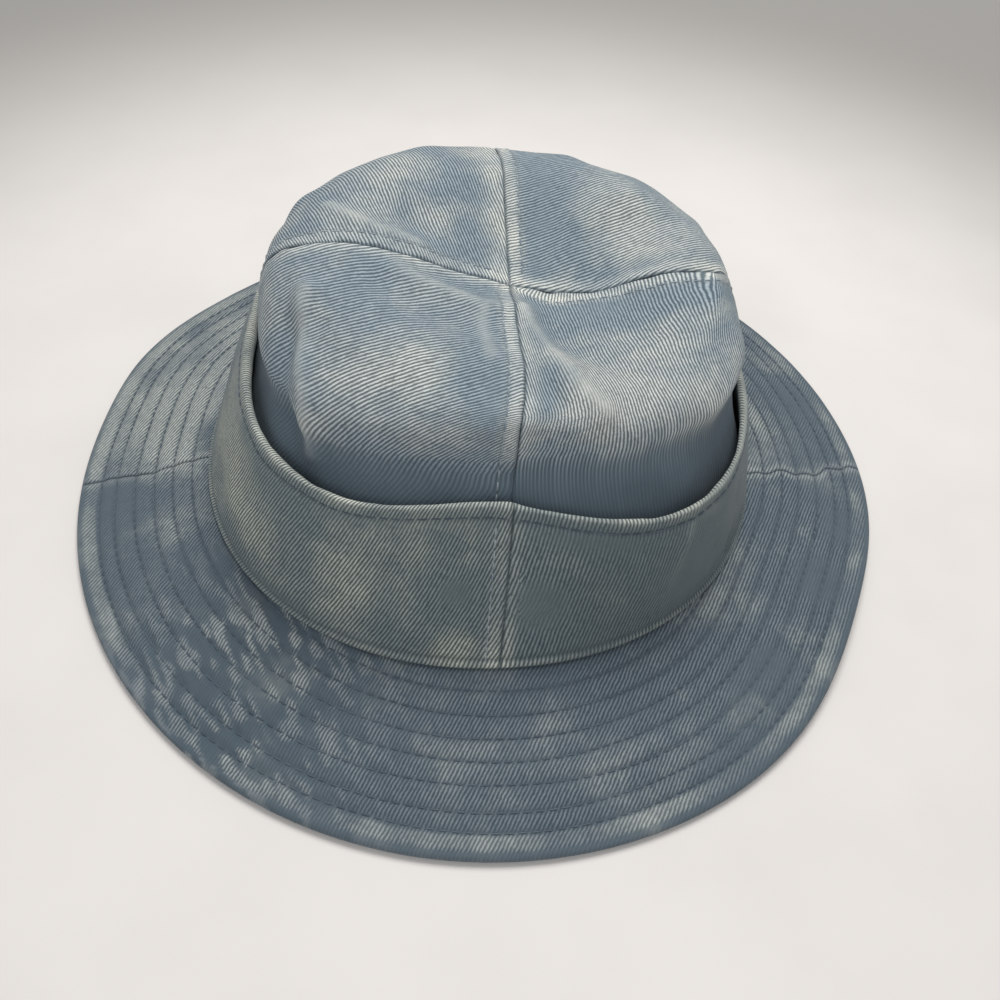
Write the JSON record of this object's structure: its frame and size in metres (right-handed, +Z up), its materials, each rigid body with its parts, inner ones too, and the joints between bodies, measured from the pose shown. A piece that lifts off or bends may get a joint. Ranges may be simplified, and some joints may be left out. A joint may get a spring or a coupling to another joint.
{
  "type": "bucket hat",
  "caption": "Soft washed-denim bucket hat with a paneled dented crown, a deep turned-up cuff and a wide stitched brim whose front and back fold up.",
  "frame": {"origin": "on the plane the hat rests on, in the middle of the brim", "axes": "+Z up, front of the hat towards -Y, wearer's right-hand side of a viewer facing the front towards +X"},
  "size_m": [0.2917, 0.309, 0.1012],
  "materials": {
    "crown_denim": "washed and bleached light blue denim twill, matt",
    "cuff_denim": "washed grey-green blue denim twill, matt",
    "brim_denim": "slate blue denim twill, worn pale along edge and seams, matt",
    "stiffener": "plain woven interlining, matt",
    "cotton_band": "plain cotton twill tape, matt",
    "label_cloth": "blank satin-woven label",
    "sewing_thread": "faded blue-grey cotton-wrapped thread"
  },
  "bodies": {
    "hat": {"brim_stiffener_back": "stiffener", "brim_stiffener_front": "stiffener", "brim_under_back": "brim_denim", "brim_under_front": "brim_denim", "brim_upper_back": "brim_denim", "brim_upper_front": "brim_denim", "crown_panel_back_left": "crown_denim", "crown_panel_back_right": "crown_denim", "crown_panel_front_left": "crown_denim", "crown_panel_front_right": "crown_denim", "crown_topstitch_back": "sewing_thread", "crown_topstitch_front": "sewing_thread", "crown_topstitch_left": "sewing_thread", "crown_topstitch_right": "sewing_thread", "cuff_left": "cuff_denim", "cuff_right": "cuff_denim", "cuff_topstitch_back": "sewing_thread", "cuff_topstitch_edge": "sewing_thread", "cuff_topstitch_front": "sewing_thread", "sweatband": "cotton_band"},
    "brim_front": {"brim_stiffener_front_flap": "stiffener", "brim_under_front_flap": "brim_denim", "brim_upper_front_flap": "brim_denim"},
    "brim_back": {"brim_stiffener_back_flap": "stiffener", "brim_under_back_flap": "brim_denim", "brim_upper_back_flap": "brim_denim"},
    "label": {"care_label": "label_cloth"}
  },
  "joints": [
    {"name": "front_brim_fold", "type": "hinge", "parent": "hat", "child": "brim_front", "pos_m": [0, -0.1075, 0.0107], "axis": [-1, 0, 0], "range_deg": [0, 105]},
    {"name": "back_brim_fold", "type": "hinge", "parent": "hat", "child": "brim_back", "pos_m": [0, 0.1075, 0.0107], "axis": [1, 0, 0], "range_deg": [0, 105]},
    {"name": "label_lift", "type": "hinge", "parent": "hat", "child": "label", "pos_m": [0, 0.08324, 0.03774], "axis": [-1, 0, 0], "range_deg": [0, 100]}
  ]
}
